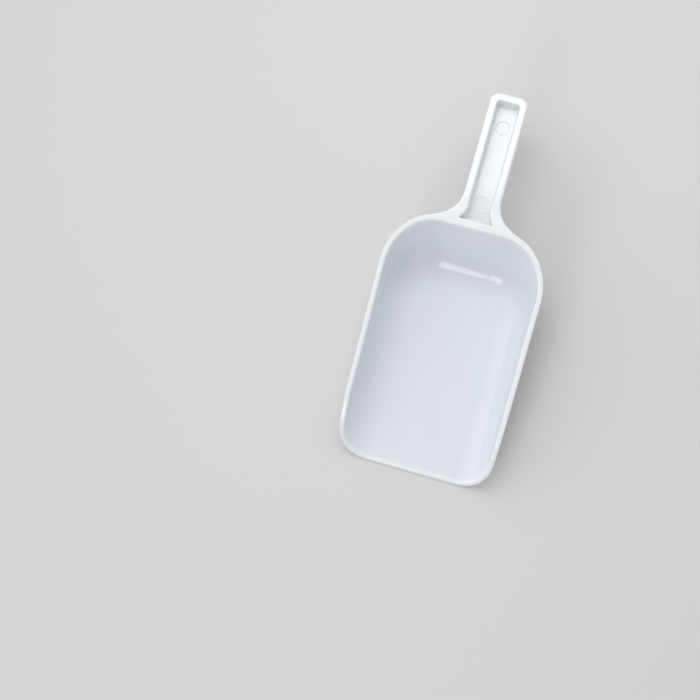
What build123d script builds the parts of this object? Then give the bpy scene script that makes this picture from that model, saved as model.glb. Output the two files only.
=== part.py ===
from build123d import *
import math
import os

# A one-piece plastic ice scoop: a deep flat-bottomed bowl, open at the front, with a straight
# channelled handle behind it.  X is left to right, the mouth faces -Y, the handle points to +Y,
# and the flat bottom stands on z = 0.  The origin is under the middle of the whole scoop.

# ---- driving dimensions, mm ----
overall_length = 180.0
bowl_length = 118.0
rim_width = 78.0
rim_height = 38.0
wall = 2.4

side_draft = 5.0            # lean of the side walls, degrees
rear_draft = 20.0           # lean of the rear wall, degrees
rim_corner_radius = 25.0    # rear corners seen from above, at the rim
base_corner_radius = 21.0   # the same corners, at the bottom
base_fillet = 17.0          # outside radius from the walls into the flat bottom
mouth_spread = 0.7          # each side stands this much further out at the mouth

rim_knee_y = 34.0           # from the lip: where the sloping rim starts to curve down
rim_knee_height = 24.0

handle_width = 18.0
handle_height = 11.0
handle_end_radius = 4.0
handle_edge_radius = 1.0
flare_radius = 13.0         # the handle's sides run out into the rear rim

rail_width = 3.6            # rails round the channel in the top of the handle
channel_depth = 7.0
channel_draft = 3.0
channel_corner_radius = 1.5
channel_flare_radius = 9.0
channel_root_width = 17.0
channel_land = 0.7          # skin between the channel and the rear rim

relief_depth = 2.0          # shallow relief under the handle keeps its web thin
relief_inset = 4.0
relief_root_gap = 12.0

# ---- places that follow from them ----
lip_y = -overall_length / 2
rear_y = lip_y + bowl_length
end_y = overall_length / 2
front_overrun = 40.0        # the tub blocks run past the lip and are trimmed to it
above_rim = 4.0             # cutting blocks stand this much above the rim
level_slack = 0.01          # edges this close to a height or a face count as on it
side_run = math.tan(math.radians(side_draft))
rear_run = math.tan(math.radians(rear_draft))


def tub_outline(inset, height):
    """Plan outline of the tub at one height, moved inwards by inset."""
    drop = rim_height - height
    half_width = rim_width / 2 - inset - drop * side_run
    back = rear_y - inset - drop * rear_run
    share = drop / rim_height
    corner = rim_corner_radius + (base_corner_radius - rim_corner_radius) * share - inset
    front = lip_y - front_overrun
    front_half = half_width + mouth_spread * (back - corner - front) / (back - corner - lip_y)
    with BuildSketch(Plane.XY.offset(height)) as outline:
        with BuildLine():
            Line((0, front), (front_half, front))
            Line((front_half, front), (half_width, back - corner))
            CenterArc((half_width - corner, back - corner), corner, 0, 90)
            Line((half_width - corner, back), (0, back))
            mirror(about=Plane.YZ)
        make_face()
    return outline.sketch


def floor_edges(part, height):
    """The bottom edges of a tub block that turn up into its sides and rear."""
    low = part.edges().filter_by_position(Axis.Z, height - level_slack, height + level_slack)
    return low.filter_by(lambda edge: edge.center().Y > lip_y - front_overrun + level_slack)


# ---- the outer block of the bowl, before it is hollowed ----
with BuildPart() as tub:
    add(tub_outline(0, 0))
    add(tub_outline(0, rim_height))
    loft(ruled=True)
    fillet(floor_edges(tub.part, 0), base_fillet)

# ---- the hollow of the bowl ----
with BuildPart() as hollow:
    add(tub_outline(wall, wall))
    add(tub_outline(wall, rim_height + above_rim))
    loft(ruled=True)
    fillet(floor_edges(hollow.part, wall), base_fillet - wall)

# ---- the space above the rim: the rim slopes down and curves to the lip ----
with BuildPart() as mouth:
    with BuildSketch(Plane.YZ):
        with BuildLine():
            slope = Line((rear_y, rim_height), (lip_y + rim_knee_y, rim_knee_height))
            nose = TangentArc(slope @ 1, (lip_y, 0), tangent=slope % 1)
            Polyline(
                nose @ 1,
                (lip_y, -above_rim),
                (lip_y - front_overrun - above_rim, -above_rim),
                (lip_y - front_overrun - above_rim, rim_height + 2 * above_rim),
                (rear_y, rim_height + 2 * above_rim),
                slope @ 0,
            )
        make_face()
    extrude(amount=rim_width, both=True)

# ---- bowl ----
with BuildPart() as bowl:
    add(tub.part)
    add(hollow.part, mode=Mode.SUBTRACT)
    add(mouth.part, mode=Mode.SUBTRACT)

bowl.part.label = "bowl"

# ---- handle: a bar from the rear rim, channelled on top, relieved underneath ----
half_bar = handle_width / 2
rim_centre_x = rim_width / 2 - rim_corner_radius
rim_centre_y = rear_y - rim_corner_radius
flare_centre_x = half_bar + flare_radius
centre_gap = rim_corner_radius + flare_radius
flare_angle = math.degrees(math.acos((flare_centre_x - rim_centre_x) / centre_gap))
flare_centre_y = rim_centre_y + centre_gap * math.sin(math.radians(flare_angle))
end_arc_y = end_y - handle_end_radius

with BuildPart() as handle:
    with BuildSketch(Plane.XY.offset(rim_height - handle_height)):
        with BuildLine():
            Line((0, end_y), (half_bar - handle_end_radius, end_y))
            CenterArc((half_bar - handle_end_radius, end_arc_y), handle_end_radius, 0, 90)
            Line((half_bar, end_arc_y), (half_bar, flare_centre_y))
            flare = CenterArc((flare_centre_x, flare_centre_y), flare_radius, 180, flare_angle)
            Polyline(flare @ 1, ((flare @ 1).X, rim_centre_y), (0, rim_centre_y))
            mirror(about=Plane.YZ)
        make_face()
    extrude(amount=handle_height)
    level_edges = handle.edges().filter_by(Plane.XY)
    fillet(level_edges.filter_by(lambda edge: edge.center().Y > rear_y), handle_edge_radius)
    add(tub.part, mode=Mode.SUBTRACT)

    # the channel in the top widens into the flares and stops short of the rear rim
    channel_half = half_bar - rail_width
    widening = channel_root_width / 2 - channel_half
    widening_angle = math.degrees(math.acos(1 - widening / channel_flare_radius))
    root_y = rear_y + channel_land
    widening_y = root_y + channel_flare_radius * math.sin(math.radians(widening_angle))
    channel_end_y = end_y - rail_width
    with BuildSketch(Plane.XY.offset(rim_height)) as channel_plan:
        with BuildLine():
            Polyline((0, channel_end_y), (channel_half, channel_end_y), (channel_half, widening_y))
            widening_arc = CenterArc(
                (channel_half + channel_flare_radius, widening_y),
                channel_flare_radius,
                180,
                widening_angle,
            )
            Line(widening_arc @ 1, (0, root_y))
            mirror(about=Plane.YZ)
        make_face()
        fillet(channel_plan.vertices().group_by(Axis.Y)[-1], channel_corner_radius)
    extrude(amount=-channel_depth, taper=channel_draft, mode=Mode.SUBTRACT)

    # the relief underneath
    relief_length = overall_length - bowl_length - relief_root_gap - relief_inset
    with BuildSketch(Plane.XY.offset(rim_height - handle_height)):
        with Locations((0, end_y - relief_inset)):
            RectangleRounded(
                handle_width - 2 * relief_inset,
                relief_length,
                channel_corner_radius,
                align=(Align.CENTER, Align.MAX),
            )
    extrude(amount=relief_depth, taper=channel_draft, mode=Mode.SUBTRACT)

handle.part.label = "handle"

os.makedirs("parts", exist_ok=True)
export_step(bowl.part, "parts/bowl.step")
export_step(handle.part, "parts/handle.step")
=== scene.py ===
import math

import bmesh
import bpy
import numpy as np
from mathutils import Euler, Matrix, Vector


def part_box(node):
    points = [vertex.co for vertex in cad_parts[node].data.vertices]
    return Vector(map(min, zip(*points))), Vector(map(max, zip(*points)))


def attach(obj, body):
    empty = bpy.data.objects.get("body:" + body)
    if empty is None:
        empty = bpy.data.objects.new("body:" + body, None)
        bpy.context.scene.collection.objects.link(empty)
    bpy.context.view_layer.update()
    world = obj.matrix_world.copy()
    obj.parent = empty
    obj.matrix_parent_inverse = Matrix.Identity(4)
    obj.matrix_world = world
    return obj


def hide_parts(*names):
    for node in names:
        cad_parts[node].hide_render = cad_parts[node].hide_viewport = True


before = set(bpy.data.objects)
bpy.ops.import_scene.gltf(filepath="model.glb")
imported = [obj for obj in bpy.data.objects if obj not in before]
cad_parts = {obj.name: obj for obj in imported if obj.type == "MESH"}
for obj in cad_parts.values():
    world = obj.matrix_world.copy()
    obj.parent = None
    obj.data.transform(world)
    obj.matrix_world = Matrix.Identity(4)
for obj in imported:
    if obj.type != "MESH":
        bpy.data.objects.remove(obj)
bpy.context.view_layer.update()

# The scoop is one moulding, so it is one continuous skin here.  It is described by a signed
# distance, below zero inside the plastic, and meshed on a graded grid.  Everything is in metres.

MM = 0.001
TINY = 1e-9                       # keeps a division away from zero

# ---- places from the frame ----
BOWL_LOW, BOWL_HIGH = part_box("bowl")
HANDLE_LOW, HANDLE_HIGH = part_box("handle")
LIP_Y = BOWL_LOW.y
REAR_Y = BOWL_HIGH.y
RIM_Z = BOWL_HIGH.z
END_Y = HANDLE_HIGH.y
HANDLE_Z = HANDLE_LOW.z

# ---- the bowl ----
WALL = 2.4 * MM
RIM_HALF = 39.0 * MM              # half of the rim's width at its full height
SIDE_LEAN = math.radians(5.0)
REAR_LEAN = math.radians(20.0)
CORNER_RADIUS = 25.0 * MM         # rear corners seen from above
BASE_RADIUS = 17.0 * MM           # outside, from the walls into the flat bottom
MOUTH_SPREAD = 0.7 * MM           # each side stands this much further out at the lip
KNEE_Y = LIP_Y + 34.0 * MM        # where the sloping rim starts to curve down to the lip
KNEE_Z = 24.0 * MM
REAR_EASE = 60.0 * MM             # the rim eases from level to sloping round this radius
RIM_ROUND = 0.6 * MM
EDGE_RUN = 6 * MM                 # behind the rim, its rounding grows into the bar's
LIP_THIN = 0.6 * MM               # the floor is this much thinner at the lip
LIP_RUN = 16.0 * MM

# ---- the handle ----
BAR_HALF = 9.0 * MM
END_RADIUS = 4.0 * MM
BAR_LEAN = math.radians(2.0)
BAR_ROUND = 1.0 * MM
PARTING_DROP = 4.5 * MM           # the parting line runs round the bar this far under its top
PARTING_STEP = 0.08 * MM          # how far the line stands proud
PARTING_WIDTH = 0.45 * MM
FLARE_RADIUS = 13.0 * MM
ROOT_FILLET = 5.0 * MM            # under the handle, where it leaves the rear wall
ROOT_REACH = 6.5 * MM             # the handle's solid ends this far under it, inside the bowl's
CHANNEL_HALF = 5.4 * MM
CHANNEL_DEPTH = 7.0 * MM
CHANNEL_LEAN = math.radians(3.0)
CHANNEL_LAND = 0.7 * MM           # skin between the channel and the rear rim
CHANNEL_CORNER = 1.5 * MM
CHANNEL_FLARE = 9.0 * MM
CHANNEL_FLARE_START = 6.8 * MM    # from the channel's root to where its flare begins
RAIL = 3.6 * MM                   # width of the rails round the channel
INNER_ROUND = 0.8 * MM
RELIEF_DEPTH = 2.0 * MM
RELIEF_INSET = 4.0 * MM
RELIEF_ROOT = 12.0 * MM
PIN_RADIUS = 3.2 * MM             # round witness marks of two ejector pins in the channel
PIN_SINK = 0.22 * MM
PIN_EDGE = 0.5 * MM               # width of the slope round each mark
PIN_YS = (REAR_Y + 10.5 * MM, END_Y - 14.5 * MM)


def both(a, b, radius, turn=0.0):
    """Where both solids are, with a rounded edge; turn is the cosine between their outward normals."""
    u, v = a + radius, b + radius
    across = np.sqrt(np.maximum(u * u + v * v - 2 * turn * u * v, 0) / (1 - turn * turn))
    return np.where((u > turn * v) & (v > turn * u), across - radius, np.maximum(a, b))


def either(a, b, radius, turn=0.0):
    """Where either solid is, with a fillet in the corner between them."""
    return -both(-a, -b, radius, turn)


def smooth(t):
    """Eases from 0 to 1 as t goes from 0 to 1."""
    t = np.clip(t, 0, 1)
    return t * t * (3 - 2 * t)


def tub_distance(x, y, z):
    """The outside of the bowl before the mouth is cut, its walls alone, and the sine of their lean."""
    corner_y = REAR_Y - CORNER_RADIUS
    spread = MOUTH_SPREAD * (corner_y - y) / (corner_y - LIP_Y)
    side = (np.abs(x) - RIM_HALF - spread) + (RIM_Z - z) * math.tan(SIDE_LEAN)
    rear = (y - REAR_Y) + (RIM_Z - z) * math.tan(REAR_LEAN)
    side, rear = side * math.cos(SIDE_LEAN), rear * math.cos(REAR_LEAN)
    side_sine, rear_sine = math.sin(SIDE_LEAN), math.sin(REAR_LEAN)
    walls = both(side, rear, CORNER_RADIUS, side_sine * rear_sine)
    to_side = np.maximum(side + CORNER_RADIUS, TINY)
    to_rear = np.maximum(rear + CORNER_RADIUS, 0)
    lean = (to_side * side_sine + to_rear * rear_sine) / np.hypot(to_side, to_rear)
    return both(walls, -z, BASE_RADIUS, lean), walls, lean


def mouth_distance(y, z):
    """Below the rim: level over the handle, sloping along the bowl, curved down to the lip."""
    slope = math.atan2(RIM_Z - KNEE_Z, REAR_Y - KNEE_Y)
    chord = math.atan2(KNEE_Z, KNEE_Y - LIP_Y)
    steep = 2 * chord - slope
    radius = math.hypot(KNEE_Y - LIP_Y, KNEE_Z) / (2 * math.sin(chord - slope))
    rim = (z - KNEE_Z) * math.cos(slope) - (y - KNEE_Y) * math.sin(slope)
    lip = z * math.cos(steep) - (y - LIP_Y) * math.sin(steep)
    nose = both(rim, lip, radius, math.cos(steep - slope))
    return both(nose, z - RIM_Z, REAR_EASE, math.cos(slope))


def handle_distance(x, y, z, walls, lean):
    """The bar with its flares, its parting line and the fillet under its root."""
    parting_z = RIM_Z - PARTING_DROP
    half = BAR_HALF - np.abs(z - parting_z) * math.tan(BAR_LEAN)
    half = half + PARTING_STEP * np.exp(-(((z - parting_z) / PARTING_WIDTH) ** 2))
    end = y - END_Y - (half - BAR_HALF)
    plan = either(both(np.abs(x) - half, end, END_RADIUS), walls, FLARE_RADIUS)
    under = either(HANDLE_Z - z, walls, ROOT_FILLET, lean)
    return np.maximum(both(plan, under, BAR_ROUND), HANDLE_Z - ROOT_REACH - z)


def channel_distance(x, y, z):
    """The channel in the top of the bar, with its flared root and its two pin marks."""
    root_y = REAR_Y + CHANNEL_LAND
    flare_foot = y - (root_y + CHANNEL_FLARE_START - CHANNEL_FLARE)
    plan = either(np.abs(x) - CHANNEL_HALF, flare_foot, CHANNEL_FLARE)
    plan = both(plan, y - (END_Y - RAIL), CHANNEL_CORNER)
    plan = both(plan, root_y - y, INNER_ROUND)
    depth = np.full_like(y, CHANNEL_DEPTH)
    for pin_y in PIN_YS:
        away = np.hypot(x, y - pin_y)
        depth = depth + PIN_SINK * smooth((PIN_RADIUS - away) / PIN_EDGE + 0.5)
    drop = RIM_Z - z
    return both(plan + drop * math.tan(CHANNEL_LEAN), drop - depth, INNER_ROUND)


def relief_distance(x, y, z):
    """The shallow relief under the bar."""
    rise = z - HANDLE_Z
    sides = np.abs(x) - (BAR_HALF - RELIEF_INSET)
    plan = both(sides, y - (END_Y - RELIEF_INSET), CHANNEL_CORNER)
    plan = both(plan, REAR_Y + RELIEF_ROOT - y, CHANNEL_CORNER)
    return both(plan + rise * math.tan(CHANNEL_LEAN), rise - RELIEF_DEPTH, INNER_ROUND)


def scoop_distance(x, y, z):
    """The whole moulding."""
    tub, walls, lean = tub_distance(x, y, z)
    body = np.minimum(tub, handle_distance(x, y, z, walls, lean))
    thinning = LIP_THIN * smooth((LIP_Y + LIP_RUN - y) / LIP_RUN)
    shell = np.maximum(body, -(tub + WALL - thinning))
    on_bar = smooth((y - REAR_Y) / EDGE_RUN)
    edge = RIM_ROUND + (BAR_ROUND - RIM_ROUND) * on_bar
    solid = both(shell, mouth_distance(y, z), edge)
    solid = both(solid, -channel_distance(x, y, z), RIM_ROUND)
    return both(solid, -relief_distance(x, y, z), RIM_ROUND)


# ---- meshing ----
PINCH = 0.03 * MM                 # points nearer than this are one point
NUDGE = 0.01 * MM                 # step for measuring the distance's slope
SETTLE_ROUNDS = 3
SETTLE_REACH = 0.3 * MM           # a point moves no further than this in one round
FLATTEST = 0.25                   # least squared slope that a move is worked out from
RELAX_ROUNDS = 5
RELAX_SHARE = 0.5
STEP_X = 0.95 * MM                # grid steps away from the fine bands
STEP_Y = 1.1 * MM
STEP_Z = 0.55 * MM
STEP_FINE = 0.4 * MM              # at the rim, the lip, the floor and the top of the bar
STEP_BAR_X = 0.45 * MM
STEP_BAR_Y = 0.5 * MM
MARGIN = 0.7 * MM                 # the grid runs this far past the scoop
BAND_MARGIN = 1 * MM              # a fine band runs this far past what it covers
RIM_BAND = 3.5 * MM
LIP_BAND = 5 * MM
ROOT_BAND = 5 * MM
FLOOR_MARGIN = 0.5 * MM


def graded(low, high, step, bands):
    """Grid lines from low to high, closer together inside each band (start, end, step)."""
    lines = [low]
    while lines[-1] < high:
        here = lines[-1]
        fits = [fine for start, end, fine in bands if start - step <= here < end]
        lines.append(here + min([step] + fits))
    return np.array(lines)


def surface_net(field, lines):
    """Quads round the zero level of a field sampled on a grid of lines along X, Y and Z."""
    cells = tuple(n - 1 for n in field.shape)
    total = np.zeros(cells + (3,))
    count = np.zeros(cells)
    crossings = []
    for axis in range(3):
        low = [slice(None)] * 3
        high = [slice(None)] * 3
        low[axis], high[axis] = slice(None, -1), slice(1, None)
        start, end = field[tuple(low)], field[tuple(high)]
        hit = np.argwhere((start < 0) != (end < 0))
        f0, f1 = start[tuple(hit.T)], end[tuple(hit.T)]
        share = f0 / (f0 - f1)
        point = np.stack([lines[k][hit[:, k]] for k in range(3)], 1)
        gap = np.diff(lines[axis])[hit[:, axis]]
        point[:, axis] += share * gap
        others = [k for k in range(3) if k != axis]
        around = []
        for a, b in ((-1, -1), (0, -1), (0, 0), (-1, 0)):
            cell = hit.copy()
            cell[:, others[0]] += a
            cell[:, others[1]] += b
            around.append(cell)
            np.add.at(total, tuple(cell.T), point)
            np.add.at(count, tuple(cell.T), 1)
        crossings.append((np.stack(around, 1), (f0 < 0) ^ (axis == 1)))
    number = -np.ones(cells, int)
    used = count > 0
    number[used] = np.arange(used.sum())
    points = total[used] / count[used][:, None]
    quads = []
    for around, outward in crossings:
        quad = number[tuple(np.moveaxis(around, 2, 0))]
        quads.append(np.where(outward[:, None], quad, quad[:, ::-1]))
    return points, np.concatenate(quads)


def gradient(points):
    """Outward direction of the distance at each point."""
    slopes = []
    for axis in range(3):
        step = np.zeros(3)
        step[axis] = NUDGE
        ahead, behind = points + step, points - step
        slopes.append(scoop_distance(*ahead.T) - scoop_distance(*behind.T))
    return np.stack(slopes, 1) / (2 * NUDGE)


def settle(points):
    """Moves points onto the exact surface."""
    for _ in range(SETTLE_ROUNDS):
        slope = gradient(points)
        steep = np.maximum((slope**2).sum(1), FLATTEST)
        shift = scoop_distance(*points.T) / steep
        points = points - np.clip(shift, -SETTLE_REACH, SETTLE_REACH)[:, None] * slope
    return points


def relax(points, quads):
    """Evens out the quads by sliding points along the surface."""
    edges = np.concatenate([quads[:, [k, (k + 1) % 4]] for k in range(4)])
    size = len(points)
    degree = np.bincount(edges.ravel(), minlength=size)
    for _ in range(RELAX_ROUNDS):
        mean = np.zeros_like(points)
        for axis in range(3):
            value = points[:, axis]
            mean[:, axis] = np.bincount(edges[:, 0], value[edges[:, 1]], size)
            mean[:, axis] += np.bincount(edges[:, 1], value[edges[:, 0]], size)
        mean /= degree[:, None]
        slope = gradient(points)
        slope /= np.linalg.norm(slope, axis=1)[:, None]
        move = mean - points
        move -= (move * slope).sum(1)[:, None] * slope
        points = settle(points + RELAX_SHARE * move)
    return points


def merge_pinches(mesh):
    """Joins the few points that all but coincide, and returns the points that are left."""
    shell = bmesh.new()
    shell.from_mesh(mesh)
    bmesh.ops.remove_doubles(shell, verts=shell.verts, dist=PINCH)
    shell.to_mesh(mesh)
    shell.free()
    return np.array([v.co for v in mesh.vertices])


def inside_shade(points):
    """Where shade is painted: 1 on the inside of the bowl, 0 on its rim, its outside and the handle.
    """
    x, y, z = points.T
    inside = smooth(-tub_distance(x, y, z)[0] / (0.5 * WALL) - 0.7)
    under_rim = smooth(-mouth_distance(y, z) / (2 * MM) - 0.3)
    return inside * under_rim * (1 - smooth((y - REAR_Y) / (2 * MM) + 1))


def rim_shade(points):
    """Where shade is painted: 1 along the very top of the rim and the lip."""
    x, y, z = points.T
    return smooth(1 + mouth_distance(y, z) / (0.5 * MM)) * (1 - smooth((y - REAR_Y) / (4 * MM)))


def make_moulding():
    """The scoop's one closed skin."""
    half_lines = graded(
        0,
        RIM_HALF + BAND_MARGIN,
        STEP_X,
        [(0, BAR_HALF + BAND_MARGIN, STEP_BAR_X), (RIM_HALF - RIM_BAND, RIM_HALF, STEP_FINE)],
    )
    x_lines = np.concatenate([-half_lines[:0:-1], half_lines])
    y_lines = graded(
        LIP_Y - MARGIN,
        END_Y + MARGIN,
        STEP_Y,
        [
            (LIP_Y, LIP_Y + LIP_BAND, STEP_FINE),
            (REAR_Y - ROOT_BAND, END_Y, STEP_BAR_Y),
            (END_Y - RAIL - BAND_MARGIN, END_Y, STEP_FINE),
        ],
    )
    z_lines = graded(
        -MARGIN,
        RIM_Z + MARGIN,
        STEP_Z,
        [
            (-MARGIN, WALL + FLOOR_MARGIN, STEP_FINE),
            (HANDLE_Z - BAND_MARGIN, RIM_Z + BAND_MARGIN, STEP_FINE),
        ],
    )
    grid = np.meshgrid(x_lines, y_lines, z_lines, indexing="ij")
    points, quads = surface_net(scoop_distance(*grid), (x_lines, y_lines, z_lines))
    points = relax(settle(points), quads)
    mesh = bpy.data.meshes.new("scoop_moulding")
    mesh.from_pydata(points.tolist(), [], quads.tolist())
    points = merge_pinches(mesh)
    mesh.shade_smooth()
    normals = gradient(points)
    normals /= np.linalg.norm(normals, axis=1)[:, None]
    mesh.normals_split_custom_set_from_vertices(normals.tolist())
    for name, values in (("inside_shade", inside_shade(points)), ("rim_shade", rim_shade(points))):
        mesh.attributes.new(name, "FLOAT", "POINT").data.foreach_set("value", values)
    scoop = bpy.data.objects.new("scoop_moulding", mesh)
    bpy.context.scene.collection.objects.link(scoop)
    return scoop


# ---- materials ----
WHITE = (0.845, 0.86, 0.88, 1)
INSIDE_SHADE_WHITE = (0.76, 0.79, 0.83, 1)      # painted shade: darker and bluer on the bowl's inside
CLOUD_TINT = (0.982, 0.985, 0.99, 1)
FLOW_TINT = (0.985, 0.987, 0.99, 1)
SCUFF_WHITE = (0.90, 0.91, 0.93, 1)
# painted shade along the very top of the rim and the lip
RIM_SHADE_WHITE = (0.80, 0.81, 0.825, 1)
GLOSSIEST, DULLEST = 0.055, 0.095
SCUFF_ROUGHNESS = 0.14                  # added where the plastic is scuffed
BOARD_DARK = (0.655, 0.655, 0.655, 1)
BOARD_PALE = (0.675, 0.675, 0.675, 1)


def node(tree, kind, **values):
    """A shader node with its settings and its unlinked inputs."""
    made = tree.nodes.new(kind)
    for name, value in values.items():
        if hasattr(made, name):
            setattr(made, name, value)
        else:
            made.inputs[name.replace("_", " ")].default_value = value
    return made


def new_material(name):
    """A node material, its tree and its Principled shader."""
    material = bpy.data.materials.new(name)
    material.use_nodes = True
    tree = material.node_tree
    return material, tree, tree.nodes["Principled BSDF"]


def ramp(tree, value, low, high, start, end):
    """A value spread from low..high onto start..end, and kept within it."""
    made = node(tree, "ShaderNodeMapRange", From_Min=low, From_Max=high, To_Min=start, To_Max=end)
    tree.links.new(value, made.inputs["Value"])
    return made.outputs["Result"]


def blend(tree, how, factor, first, second):
    """Two colours or values mixed; each may be a plain colour or another node's output."""
    made = node(tree, "ShaderNodeMix", data_type="RGBA", blend_type=how)
    for name, value in (("Factor", factor), ("A", first), ("B", second)):
        if isinstance(value, (int, float, tuple)):
            made.inputs[name].default_value = value
        else:
            tree.links.new(value, made.inputs[name])
    return made.outputs["Result"]


def noise(tree, place, scale, detail, stretch=(1, 1, 1)):
    """Noise in object space, drawn out along an axis where stretch is small."""
    drawn = node(tree, "ShaderNodeMapping", Scale=stretch)
    made = node(tree, "ShaderNodeTexNoise", Scale=scale, Detail=detail, Roughness=0.55)
    tree.links.new(place, drawn.inputs["Vector"])
    tree.links.new(drawn.outputs["Vector"], made.inputs["Vector"])
    return made.outputs["Fac"]


def plastic_material():
    """Cool white gloss polypropylene, with painted shade that makes the bowl's inside faintly darker
    and bluer and the top of the rim and the lip darker, with flow clouding from moulding, a soft
    orange peel, and the hairline scuffs that ice leaves along the bowl."""
    material, tree, shader = new_material("white_plastic")
    place = node(tree, "ShaderNodeTexCoord").outputs["Object"]
    inside_shade_mask = node(tree, "ShaderNodeAttribute", attribute_name="inside_shade").outputs["Fac"]
    edge = node(tree, "ShaderNodeAttribute", attribute_name="rim_shade").outputs["Fac"]
    cloud = noise(tree, place, 28.0, 3.0)
    flow = noise(tree, place, 60.0, 2.0, (1, 0.25, 1))
    peel = noise(tree, place, 700.0, 2.0)
    grain = noise(tree, place, 5200.0, 1.0)
    hair = noise(tree, place, 1500.0, 4.0, (1, 0.035, 1))
    scuffs = ramp(tree, hair, 0.66, 0.72, 0.0, 1.0)
    scuffed = node(tree, "ShaderNodeMath", operation="MULTIPLY")
    tree.links.new(scuffs, scuffed.inputs[0])
    tree.links.new(inside_shade_mask, scuffed.inputs[1])

    # painted shade: the bowl's inside is mixed towards a darker, bluer white
    tone = blend(tree, "MIX", inside_shade_mask, WHITE, INSIDE_SHADE_WHITE)
    clouding = ramp(tree, cloud, 0.35, 0.65, 0.0, 0.9)
    clouded = blend(tree, "MULTIPLY", clouding, tone, CLOUD_TINT)
    flowing = ramp(tree, flow, 0.4, 0.65, 0.0, 0.7)
    flowed = blend(tree, "MULTIPLY", flowing, clouded, FLOW_TINT)
    scoring = ramp(tree, scuffed.outputs[0], 0, 1, 0, 0.10)
    scored = blend(tree, "MIX", scoring, flowed, SCUFF_WHITE)
    # painted shade: darker along the very top of the rim and the lip
    rim_shaded = blend(tree, "MIX", ramp(tree, edge, 0, 1, 0, 0.3), scored, RIM_SHADE_WHITE)
    tree.links.new(rim_shaded, shader.inputs["Base Color"])

    base = ramp(tree, cloud, 0.3, 0.7, GLOSSIEST, DULLEST)
    rougher = node(tree, "ShaderNodeMath", operation="MULTIPLY_ADD")
    tree.links.new(scuffed.outputs[0], rougher.inputs[0])
    rougher.inputs[1].default_value = SCUFF_ROUGHNESS
    tree.links.new(base, rougher.inputs[2])
    tree.links.new(rougher.outputs[0], shader.inputs["Roughness"])

    peeled = node(tree, "ShaderNodeBump", Strength=0.10, Distance=0.04 * MM)
    grained = node(tree, "ShaderNodeBump", Strength=0.12, Distance=0.006 * MM)
    scratched = node(tree, "ShaderNodeBump", Strength=0.25, Distance=0.01 * MM, invert=True)
    for bump, height in ((peeled, peel), (grained, grain), (scratched, scuffed.outputs[0])):
        tree.links.new(height, bump.inputs["Height"])
    tree.links.new(peeled.outputs["Normal"], grained.inputs["Normal"])
    tree.links.new(grained.outputs["Normal"], scratched.inputs["Normal"])
    tree.links.new(scratched.outputs["Normal"], shader.inputs["Normal"])

    shader.inputs["IOR"].default_value = 1.5
    shader.inputs["Subsurface Weight"].default_value = 0.08
    shader.inputs["Subsurface Radius"].default_value = (1.0, 0.95, 0.9)
    shader.inputs["Subsurface Scale"].default_value = 1.5 * MM
    return material


def floor_material():
    """Pale matt studio board with a faint tooth."""
    material, tree, shader = new_material("pale_floor")
    place = node(tree, "ShaderNodeTexCoord").outputs["Object"]
    tooth = noise(tree, place, 900.0, 3.0)
    drift = noise(tree, place, 3.0, 2.0)
    tint = blend(tree, "MIX", drift, BOARD_DARK, BOARD_PALE)
    tree.links.new(tint, shader.inputs["Base Color"])
    tree.links.new(ramp(tree, tooth, 0.3, 0.7, 0.62, 0.74), shader.inputs["Roughness"])
    bump = node(tree, "ShaderNodeBump", Strength=0.15, Distance=0.03 * MM)
    tree.links.new(tooth, bump.inputs["Height"])
    tree.links.new(bump.outputs["Normal"], shader.inputs["Normal"])
    return material


# ---- scoop ----
scoop = make_moulding()
scoop.data.materials.append(plastic_material())
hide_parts("bowl", "handle")
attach(scoop, "root")

# ---- studio ----
BOWL_CENTRE = (BOWL_LOW + BOWL_HIGH) / 2
BOWL_CENTRE.z = 0
HANDLE_CENTRE = (HANDLE_LOW + HANDLE_HIGH) / 2

FLOOR_REACH = 30.0
FLOOR_DROP = 0.05 * MM                  # keeps the floor clear of the flat bottom

MOUTH_BOX_PLACE = (-19.3, 54.5, 1.2)    # degrees to the right and to the front, and how far
MOUTH_BOX_SIZE = (0.42, 0.53)
MOUTH_BOX_POWER = 2.6
HANDLE_BOX_PLACE = (-0.06, 0.21, 0.42)
HANDLE_BOX_SIZE = (0.25, 0.2)
HANDLE_BOX_POWER = 0.45

ROOM_TINT = (0.985, 0.992, 1, 1)
ROOM_LEVEL = 0.40
GLOW_FALLOFF = 3.0                      # a higher power draws each glow in
GLOWS = [
    ((-0.86, 0.1, 0.5), 0.96),          # left
    ((0.86, 0, 0.5), 0.34),             # right
    ((0, 0.67, 0.74), 0.27),            # behind the handle
]

LENS = 79.65
SENSOR_WIDTH = 36
NEAREST_SEEN = 0.01
CAMERA_PLACE = (0.0416, -0.0929, 0.7423)
CAMERA_TURN = (5.62, 5.24, 15.96)       # degrees


def make_floor():
    """A wide pale board under the scoop."""
    mesh = bpy.data.meshes.new("studio_floor")
    reach = FLOOR_REACH
    corners = [(-reach, -reach, 0), (reach, -reach, 0), (reach, reach, 0), (-reach, reach, 0)]
    mesh.from_pydata(corners, [], [(0, 1, 2, 3)])
    floor = bpy.data.objects.new("studio_floor", mesh)
    floor.location.z = -FLOOR_DROP
    floor.data.materials.append(floor_material())
    bpy.context.scene.collection.objects.link(floor)


def area_light(name, position, target, size, power):
    """A soft box that faces its target."""
    data = bpy.data.lights.new(name, "AREA")
    data.shape = "RECTANGLE"
    data.size, data.size_y = size
    data.energy = power
    light = bpy.data.objects.new(name, data)
    light.location = position
    light.rotation_euler = (Vector(target) - Vector(position)).to_track_quat("-Z", "Y").to_euler()
    bpy.context.scene.collection.objects.link(light)


def from_overhead(side, front, distance):
    """A place seen from the bowl at this many degrees to the right and to the front of overhead."""
    away = Vector((math.tan(math.radians(side)), -math.tan(math.radians(front)), 1))
    return away.normalized() * distance + BOWL_CENTRE


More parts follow.
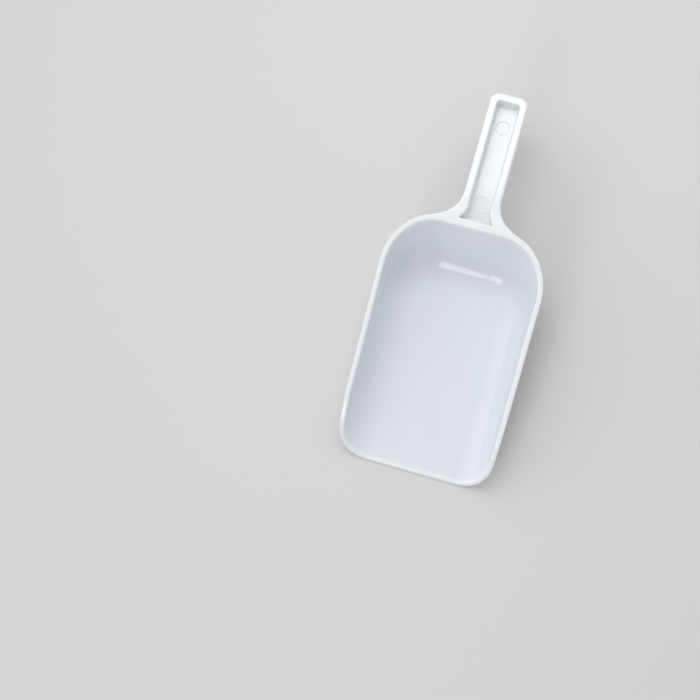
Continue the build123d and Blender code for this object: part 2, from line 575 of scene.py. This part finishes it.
def make_world():
    """An even pale room, brighter towards each glow: a direction and how bright it is there."""
    world = bpy.data.worlds.new("studio")
    world.use_nodes = True
    tree = world.node_tree
    background = tree.nodes["Background"]
    background.inputs["Color"].default_value = ROOM_TINT
    place = node(tree, "ShaderNodeTexCoord").outputs["Generated"]
    total = node(tree, "ShaderNodeValue").outputs[0]
    total.default_value = ROOM_LEVEL
    for direction, gain in GLOWS:
        facing = node(tree, "ShaderNodeVectorMath", operation="DOT_PRODUCT")
        tree.links.new(place, facing.inputs[0])
        facing.inputs[1].default_value = Vector(direction).normalized()
        ahead = ramp(tree, facing.outputs["Value"], 0, 1, 0, 1)
        glow = node(tree, "ShaderNodeMath", operation="POWER")
        glow.inputs[1].default_value = GLOW_FALLOFF
        tree.links.new(ahead, glow.inputs[0])
        sum_up = node(tree, "ShaderNodeMath", operation="MULTIPLY_ADD")
        tree.links.new(glow.outputs[0], sum_up.inputs[0])
        sum_up.inputs[1].default_value = gain
        tree.links.new(total, sum_up.inputs[2])
        total = sum_up.outputs[0]
    tree.links.new(total, background.inputs["Strength"])
    bpy.context.scene.world = world


def make_lights():
    """A large box in front of the mouth, a smaller one above and behind the handle, and the room."""
    mouth_place = from_overhead(*MOUTH_BOX_PLACE)
    area_light("mouth_box", mouth_place, BOWL_CENTRE, MOUTH_BOX_SIZE, MOUTH_BOX_POWER)
    area_light("handle_box", HANDLE_BOX_PLACE, HANDLE_CENTRE, HANDLE_BOX_SIZE, HANDLE_BOX_POWER)
    make_world()
    bpy.context.scene.view_settings.view_transform = "Standard"


def make_camera():
    """Nearly overhead, a little towards the mouth and the scoop's right."""
    data = bpy.data.cameras.new("camera")
    data.lens = LENS
    data.sensor_width = SENSOR_WIDTH
    data.clip_start = NEAREST_SEEN
    camera = bpy.data.objects.new("camera", data)
    camera.location = CAMERA_PLACE
    camera.rotation_euler = Euler([math.radians(angle) for angle in CAMERA_TURN])
    bpy.context.scene.collection.objects.link(camera)
    bpy.context.scene.camera = camera


make_floor()
make_lights()
make_camera()
